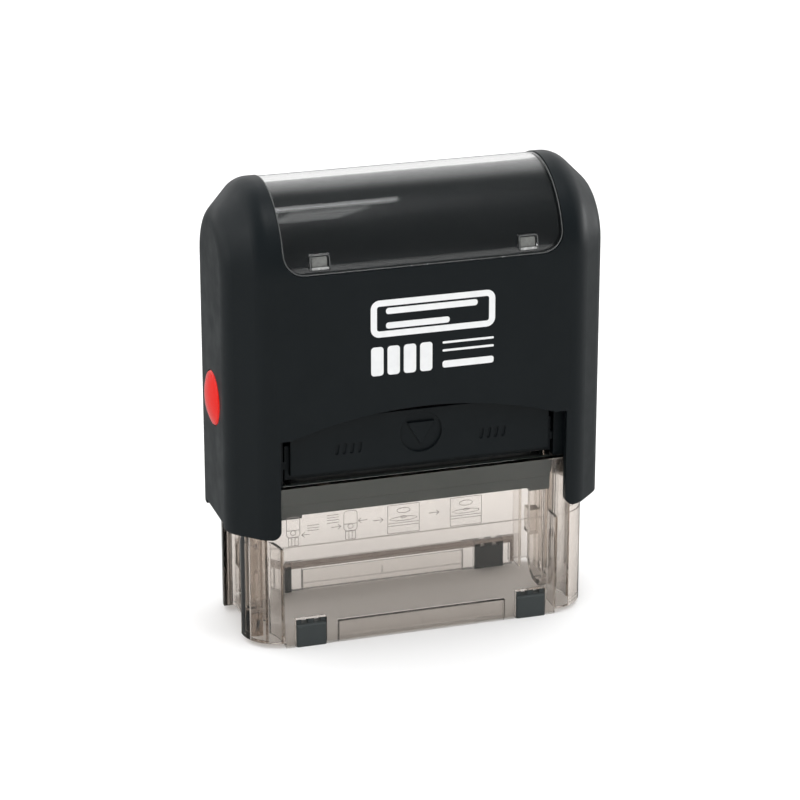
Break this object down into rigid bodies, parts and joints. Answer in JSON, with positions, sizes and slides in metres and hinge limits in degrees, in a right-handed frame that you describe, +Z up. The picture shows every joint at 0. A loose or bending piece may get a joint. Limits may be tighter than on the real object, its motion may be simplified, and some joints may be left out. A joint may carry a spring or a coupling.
{
  "type": "self inking stamp",
  "caption": "Self-inking desk stamp: a sprung black cap slides down a clear base and turns the carrier from the pad to the paper.",
  "frame": {"origin": "bottom centre of the bounding box: on the table, under the middle of the base", "axes": "+X along the long side, -Y the front, +Z up"},
  "size_m": [0.0732, 0.0296, 0.0852],
  "materials": {
    "smoky_clear": "smooth smoky clear plastic",
    "clear_plastic": "glossy clear plastic",
    "black_plastic": "fine satin moulding",
    "grey_plastic": "satin",
    "red_plastic": "glossy",
    "rubber_foot": "matt",
    "die_rubber": "matt",
    "ink_felt": "ink-soaked felt",
    "black_card": "smooth",
    "foil": "thin foam tape",
    "spring_steel": "drawn wire"
  },
  "bodies": {
    "base": {"base_frame": "smoky_clear", "front_window": "smoky_clear", "rear_window": "smoky_clear", "front_left_foot": "rubber_foot", "front_right_foot": "rubber_foot", "rear_left_foot": "rubber_foot", "rear_right_foot": "rubber_foot", "pad_frame": "black_plastic", "cartridge_tray": "black_plastic", "ink_pad": "ink_felt", "left_spring": "spring_steel", "right_spring": "spring_steel"},
    "cap": {"cap_shell": "black_plastic", "index_card": "black_card", "yoke": "black_plastic"},
    "cover": {"clear_cover": "clear_plastic"},
    "left_lock": {"left_button": "red_plastic"},
    "right_lock": {"right_button": "red_plastic"},
    "carrier": {"die_carrier": "grey_plastic", "left_axle": "spring_steel", "right_axle": "spring_steel", "adhesive_foil": "foil", "text_plate": "die_rubber", "rubber_die": "die_rubber"}
  },
  "joints": [
    {"name": "press", "type": "slide", "parent": "base", "child": "cap", "axis": [0, 0, -1], "range_m": [0, 0.0211], "stiffness_N_per_m": 300, "springref_m": -0.01, "deforming": ["left_spring", "right_spring"]},
    {"name": "flip", "type": "hinge", "parent": "cap", "child": "carrier", "pos_m": [0, 0, 0.0263], "axis": [1, 0, 0], "range_deg": [0, 180]},
    {"name": "left_lock_button", "type": "slide", "parent": "cap", "child": "left_lock", "axis": [1, 0, 0], "range_m": [0, 0.0012], "stiffness_N_per_m": 400, "springref_m": -0.002},
    {"name": "right_lock_button", "type": "slide", "parent": "cap", "child": "right_lock", "axis": [-1, 0, 0], "range_m": [0, 0.0012], "stiffness_N_per_m": 400, "springref_m": -0.002},
    {"name": "cover_lift", "type": "slide", "parent": "cap", "child": "cover", "axis": [0, 0, 1], "range_m": [0, 0.018]}
  ],
  "couplings": [
    {"joint": "flip", "follows": "press", "rad_per_m": 148.88}
  ]
}
